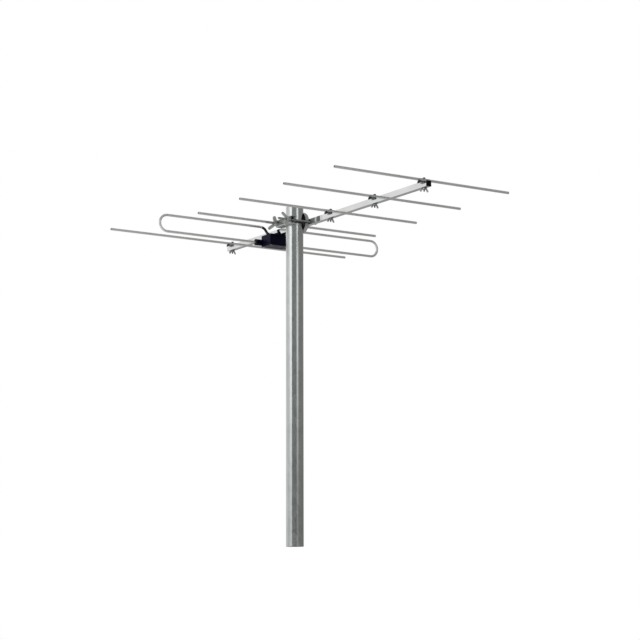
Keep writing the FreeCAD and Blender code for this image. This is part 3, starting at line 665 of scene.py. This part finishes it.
# Coax socket, a threaded barrel with a black core in its mouth: radii and pitch
BARREL = 4.7 * MM
RELIEF = 0.5 * MM
MOUTH = 3.3 * MM
FLANGE = 5.5 * MM
MOUTH_EDGE = 0.7 * MM
CORE_GAP = 0.02 * MM
CORE_FACE = 2.6 * MM
PIN_HOLE = 0.6 * MM
BARREL_PITCH = 0.79 * MM
# Places along it from its tail, then from its mouth
TAIL_END = 4 * MM
FLANGE_END = 6 * MM
NUT_END = 11.5 * MM
THREAD_START = 12.5 * MM
THREAD_STOP = 0.3 * MM
CORE_TOP = 0.3 * MM
CORE_EDGE = 0.5 * MM
CORE_FOOT = 1.2 * MM


def coax_barrel():
    low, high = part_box("coax_socket")
    middle = (low + high) / 2
    length = high.x - low.x

    def place(along, u, v):
        return Vector((low.x + along, middle.y + u, middle.z + v))

    stations = [(0, MOUTH), (TAIL_END, MOUTH), (TAIL_END, FLANGE), (FLANGE_END, FLANGE), (FLANGE_END, BARREL),
                (NUT_END, BARREL), (NUT_END, BARREL - RELIEF), (THREAD_START, BARREL - RELIEF)]
    stations += thread(THREAD_START, length - THREAD_STOP, BARREL, BARREL_PITCH)
    stations += [(length, BARREL - MOUTH_EDGE), (length, MOUTH), (length - CORE_FOOT, MOUTH)]
    shell = new_piece("coax_socket.threaded", skin(turned(stations, place)), "nickel_brass")
    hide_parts("coax_socket")
    core = [(length - CORE_FOOT, MOUTH - CORE_GAP), (length - CORE_EDGE, MOUTH - CORE_GAP),
            (length - CORE_TOP, CORE_FACE), (length - CORE_TOP, PIN_HOLE), (length - CORE_FOOT, PIN_HOLE)]
    new_piece("coax_socket.core", skin(turned(core, place), ring_again=True), "black_plastic")


coax_barrel()

# Stage: pale floor, soft lamps, and dark cards that only reflections see
WHITE = (1, 1, 1)
GLOW_FOOT = 0.0
GLOW_TOP = 2.2


def blank_material(name):
    """A material with no nodes yet, whose glow isn't sampled as a lamp."""
    material = bpy.data.materials.new(name)
    material.use_nodes = True
    material.node_tree.nodes.clear()
    material.cycles.emission_sampling = "NONE"
    return material


def emission(name, low, high, bottom=GLOW_FOOT, top=GLOW_TOP, tint=WHITE, along="Z"):
    """A glow that grows from one level to another between two heights, or along another axis."""
    material = blank_material(name)
    tree = material.node_tree
    light = add(tree, "ShaderNodeEmission")
    light.inputs["Color"].default_value = (*tint, 1)
    tree.links.new(span(tree, axes(tree)[along], low, high, bottom, top), light.inputs["Strength"])
    out = add(tree, "ShaderNodeOutputMaterial")
    tree.links.new(light.outputs[0], out.inputs["Surface"])
    return material


def stage_mesh(name, points, faces, material):
    mesh = bpy.data.meshes.new(name)
    mesh.from_pydata(points, [], faces)
    thing = bpy.data.objects.new(name, mesh)
    scene.collection.objects.link(thing)
    mesh.materials.append(material)
    return thing


def only_in_reflections(thing):
    thing.visible_camera = False
    thing.visible_diffuse = False
    thing.visible_transmission = False
    thing.visible_shadow = False


TURN = math.radians(CAMERA_TURN)
TOWARDS_CAMERA = Vector((math.sin(TURN), -math.cos(TURN), 0))
TO_THE_RIGHT = Vector((math.cos(TURN), math.sin(TURN), 0))


def bearing(degrees, distance, height):
    """A place at a bearing from the camera's side of the mast, positive to the picture's right."""
    turn = math.radians(degrees)
    level = TOWARDS_CAMERA * math.cos(turn) + TO_THE_RIGHT * math.sin(turn)
    return level * distance + Vector((0, 0, height))


CARD_RADIUS = 7.5
CARD_FOOT = -0.42
CARD_TOP = 4.2
CARD_STEP = 4
DISC_SIDES = 64


def card(name, first, last, material):
    """A curved upright card round the object, from one bearing to another."""
    steps = max(2, round(abs(last - first) / CARD_STEP))
    points = []
    for step in range(steps + 1):
        for height in (CARD_FOOT, CARD_TOP):
            points.append(bearing(first + (last - first) * step / steps, CARD_RADIUS, height))
    faces = [(2 * s, 2 * s + 2, 2 * s + 3, 2 * s + 1) for s in range(steps)]
    only_in_reflections(stage_mesh(name, points, faces, material))


def disc(name, radius, height, material):
    angles = [2 * math.pi * side / DISC_SIDES for side in range(DISC_SIDES)]
    points = [(radius * math.cos(angle), radius * math.sin(angle), height) for angle in angles]
    return stage_mesh(name, points, [tuple(range(DISC_SIDES))], material)


FLOOR = cad_low.z - 1 * MM
FLOOR_RADIUS = 7.0
FLOOR_COLOR = (0.92, 0.92, 0.92, 1)
FLOOR_GLOW = 0.5
FADE_START = 2.5
FADE_END = 6.5


def floor_material():
    """A pale floor that keeps the shadow, fades to the white of the background and is clear from below."""
    material = blank_material("floor")
    tree = material.node_tree
    coord = add(tree, "ShaderNodeTexCoord")
    length = add(tree, "ShaderNodeVectorMath", operation="LENGTH")
    tree.links.new(coord.outputs["Object"], length.inputs[0])
    path = add(tree, "ShaderNodeLightPath")
    glow = span(tree, length.outputs["Value"], FLOOR_GLOW, 1, FADE_START, FADE_END)
    fade = math_node(tree, "MULTIPLY", glow, path.outputs["Is Camera Ray"])
    matt = add(tree, "ShaderNodeBsdfDiffuse")
    matt.inputs["Color"].default_value = FLOOR_COLOR
    pale = mixed_shaders(tree, fade, matt, add(tree, "ShaderNodeEmission"))
    geometry = add(tree, "ShaderNodeNewGeometry")
    clear = add(tree, "ShaderNodeBsdfTransparent")
    sided = mixed_shaders(tree, geometry.outputs["Backfacing"], pale, clear)
    out = add(tree, "ShaderNodeOutputMaterial")
    tree.links.new(sided.outputs[0], out.inputs["Surface"])
    return material


floor = disc("floor", FLOOR_RADIUS, FLOOR, floor_material())
floor.visible_glossy = False

# Level cards: the lower one glows less towards +X
BELOW_RADIUS = 10.0
BELOW_GLOW = {"low": 1.0, "high": 0.36, "bottom": -1.2, "top": 1.6, "along": "X"}
ABOVE_RADIUS = 9.0
ABOVE_GLOW = {"low": 0.5, "high": 0.5}
only_in_reflections(disc("card_below", BELOW_RADIUS, CARD_FOOT, emission("card_below", **BELOW_GLOW)))
only_in_reflections(disc("card_above", ABOVE_RADIUS, CARD_TOP, emission("card_above", **ABOVE_GLOW)))

# Cards round the object: first and last bearing, glow near the floor and higher up, heights, tint
CARDS = (
    ("card_left_4", -100, -84, 0.75, 1.10, GLOW_FOOT, GLOW_TOP, WHITE),
    ("card_left_3", -84, -70, 0.70, 1.35, GLOW_FOOT, GLOW_TOP, WHITE),
    ("card_left_2", -70, -55, 0.75, 1.75, GLOW_FOOT, GLOW_TOP, WHITE),
    ("card_left_1", -55, -38, 0.90, 2.30, GLOW_FOOT, GLOW_TOP, WHITE),
    ("card_front", -38, 27, 0.20, 0.36, GLOW_FOOT, GLOW_TOP, (0.96, 1.01, 0.99)),
    ("card_strip", 27, 49, 0.35, 1.75, 0.6, GLOW_TOP, WHITE),
    ("card_right", 49, 178, 0.28, 0.36, GLOW_FOOT, GLOW_TOP, (1, 1, 0.98)),
)
for name, first, last, low, high, bottom, top, tint in CARDS:
    card(name, first, last, emission(name, low, high, bottom, top, tint))

# Soft lamps: bearing, distance, height, width, length and radiance, aimed at the mast's upper half
LAMPS = (
    ("lamp_left", -58, 3.5, 2.2, 2.0, 2.4, 5.0),
    ("lamp_right", 40, 4.0, 2.6, 1.0, 1.6, 1.5),
)
LAMP_AIM = Vector((0, 0, 0.7))
for name, degrees, distance, height, width, tall, radiance in LAMPS:
    data = bpy.data.lights.new(name, "AREA")
    data.shape = "RECTANGLE"
    data.size = width
    data.size_y = tall
    data.energy = radiance * math.pi * width * tall
    lamp = bpy.data.objects.new(name, data)
    scene.collection.objects.link(lamp)
    lamp.location = bearing(degrees, distance, height)
    lamp.visible_glossy = False
    lamp.rotation_euler = (LAMP_AIM - lamp.location).to_track_quat("-Z", "Y").to_euler()

# World: white where it is seen or mirrored, a soft grey light elsewhere
AMBIENT = (0.50, 0.50, 0.50, 1)
world = bpy.data.worlds.new("studio")
scene.world = world
world.use_nodes = True
tree = world.node_tree
tree.nodes.clear()
path = add(tree, "ShaderNodeLightPath")
seen = math_node(tree, "MAXIMUM", path.outputs["Is Camera Ray"], path.outputs["Is Glossy Ray"])
seen = math_node(tree, "MAXIMUM", seen, path.outputs["Is Transmission Ray"])
ambient = add(tree, "ShaderNodeBackground")
ambient.inputs["Color"].default_value = AMBIENT
white = add(tree, "ShaderNodeBackground")
white.inputs["Color"].default_value = (*WHITE, 1)
out = add(tree, "ShaderNodeOutputWorld")
tree.links.new(mixed_shaders(tree, seen, ambient, white).outputs[0], out.inputs["Surface"])
